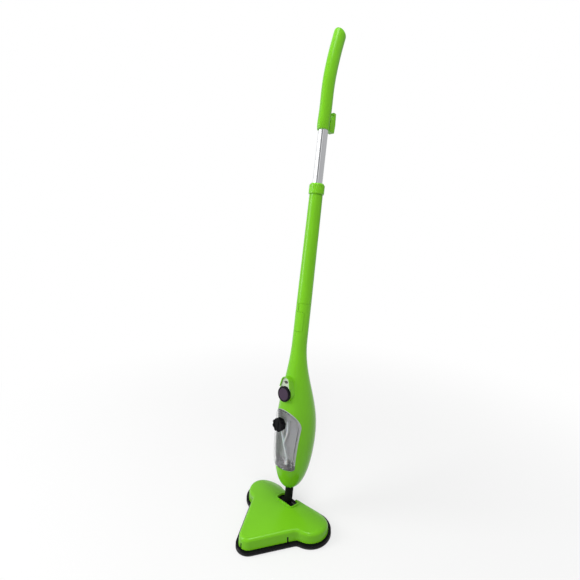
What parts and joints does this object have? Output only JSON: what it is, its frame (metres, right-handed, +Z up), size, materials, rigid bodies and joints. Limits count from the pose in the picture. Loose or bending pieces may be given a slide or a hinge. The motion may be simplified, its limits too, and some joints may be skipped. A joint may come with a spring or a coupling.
{
  "type": "steam mop",
  "caption": "Upright steam mop: lobed triangular head on a two-way swivel, egg-shaped body with a clear water tank and dial, telescopic pole and curved grip.",
  "frame": {"origin": "on the floor under the head, on the centre plane and 40.8 mm in front of the swivel's pitch axis", "axes": "+Z up from the floor, -Y towards the front tip of the head, +X to the right as seen from the front; the pole leans back 9 degrees from +Z towards +Y"},
  "size_m": [0.279, 0.381, 1.2634],
  "materials": {
    "green_gloss": "polished lime green moulding",
    "green_grip": "satin lime green moulding",
    "black_gloss": "polished black moulding",
    "silver_gloss": "pale silver moulding",
    "grey_plastic": "satin grey moulding",
    "black_steel": "blackened steel pin",
    "black_plastic": "satin black moulding",
    "clear_tank": "clear moulded plastic, slightly grey",
    "dial_purple": "satin purple-grey insert",
    "lamp_lens": "dark translucent lens, unlit",
    "chrome_tube": "bright plated tube",
    "zinc_screw": "zinc plated",
    "bare_steel": "bare steel",
    "cast_alloy": "as cast",
    "brass_pipe": "drawn tube",
    "black_rubber": "moulded rubber",
    "clear_hose": "milky silicone tube",
    "microfibre": "black cut-pile microfibre",
    "hook_tape": "hook tape"
  },
  "bodies": {
    "head": {"mop_pad": "microfibre", "hook_strips": "hook_tape", "base_plate": "black_gloss", "steam_diffuser": "bare_steel", "head_cover": "green_gloss", "bearing_caps": "black_plastic", "cover_screws": "zinc_screw"},
    "swivel": {"swivel_barrel": "black_plastic"},
    "unit": {"roll_pin": "black_steel", "neck": "black_plastic", "unit_shell_left": "green_gloss", "unit_shell_right": "green_gloss", "unit_screws": "zinc_screw", "tank_tray": "grey_plastic", "water_tank": "clear_tank", "pickup_hose": "clear_hose", "pickup_filter": "clear_hose", "control_bezel": "silver_gloss", "indicator_lamp": "lamp_lens", "control_switch": "black_plastic", "boiler": "cast_alloy", "thermostat": "bare_steel", "pump": "black_plastic", "steam_pipe": "brass_pipe", "cord_gland": "black_rubber", "pole_tube": "green_gloss", "guide_bush": "black_plastic"},
    "steam_dial": {"dial_knob": "black_gloss", "dial_face": "dial_purple", "dial_shaft": "bare_steel"},
    "cap_seal": {"cap_gasket": "black_rubber"},
    "filler_cap": {"filler_cap": "black_gloss"},
    "release_button": {"release_button": "green_gloss"},
    "lock_collar": {"lock_collar": "green_gloss"},
    "handle": {"inner_tube": "chrome_tube", "tube_plug": "black_plastic", "grip_left": "green_grip", "grip_right": "green_grip", "grip_screws": "zinc_screw", "hook_screw": "zinc_screw"},
    "cord_hook": {"cord_hook": "green_gloss"}
  },
  "joints": [
    {"name": "neck_pitch", "type": "hinge", "parent": "head", "child": "swivel", "pos_m": [0, 0.04084, 0.02642], "axis": [-1, 0, 0], "range_deg": [-9, 51]},
    {"name": "neck_roll", "type": "hinge", "parent": "swivel", "child": "unit", "pos_m": [0, 0.04475, 0.05112], "axis": [0, 0.9877, -0.1564], "range_deg": [-30, 30]},
    {"name": "dial_turn", "type": "hinge", "parent": "unit", "child": "steam_dial", "pos_m": [0, 0.02597, 0.36087], "axis": [0, -0.9877, 0.1564], "range_deg": [0, 270]},
    {"name": "cap_lift", "type": "slide", "parent": "unit", "child": "cap_seal", "axis": [0, -0.9877, 0.1564], "range_m": [0, 0.008]},
    {"name": "cap_turn", "type": "hinge", "parent": "cap_seal", "child": "filler_cap", "pos_m": [0, 0.00769, 0.28378], "axis": [0, -0.9877, 0.1564], "range_deg": [0, 720]},
    {"name": "button_press", "type": "slide", "parent": "unit", "child": "release_button", "axis": [0, 0.9877, -0.1564], "range_m": [0, 0.002], "stiffness_N_per_m": 1500, "springref_m": -0.001},
    {"name": "collar_turn", "type": "hinge", "parent": "unit", "child": "lock_collar", "pos_m": [0, 0.14934, 0.87388], "axis": [0, 0.1564, 0.9877], "range_deg": [0, 180]},
    {"name": "handle_slide", "type": "slide", "parent": "unit", "child": "handle", "axis": [0, 0.1564, 0.9877], "range_m": [-0.125, 0.088]},
    {"name": "hook_turn", "type": "hinge", "parent": "handle", "child": "cord_hook", "pos_m": [0, 0.17547, 1.03883], "axis": [0, 0.9877, -0.1564], "range_deg": [0, 180]}
  ],
  "couplings": [
    {"joint": "cap_lift", "follows": "cap_turn", "m_per_rad": 0.000636}
  ]
}
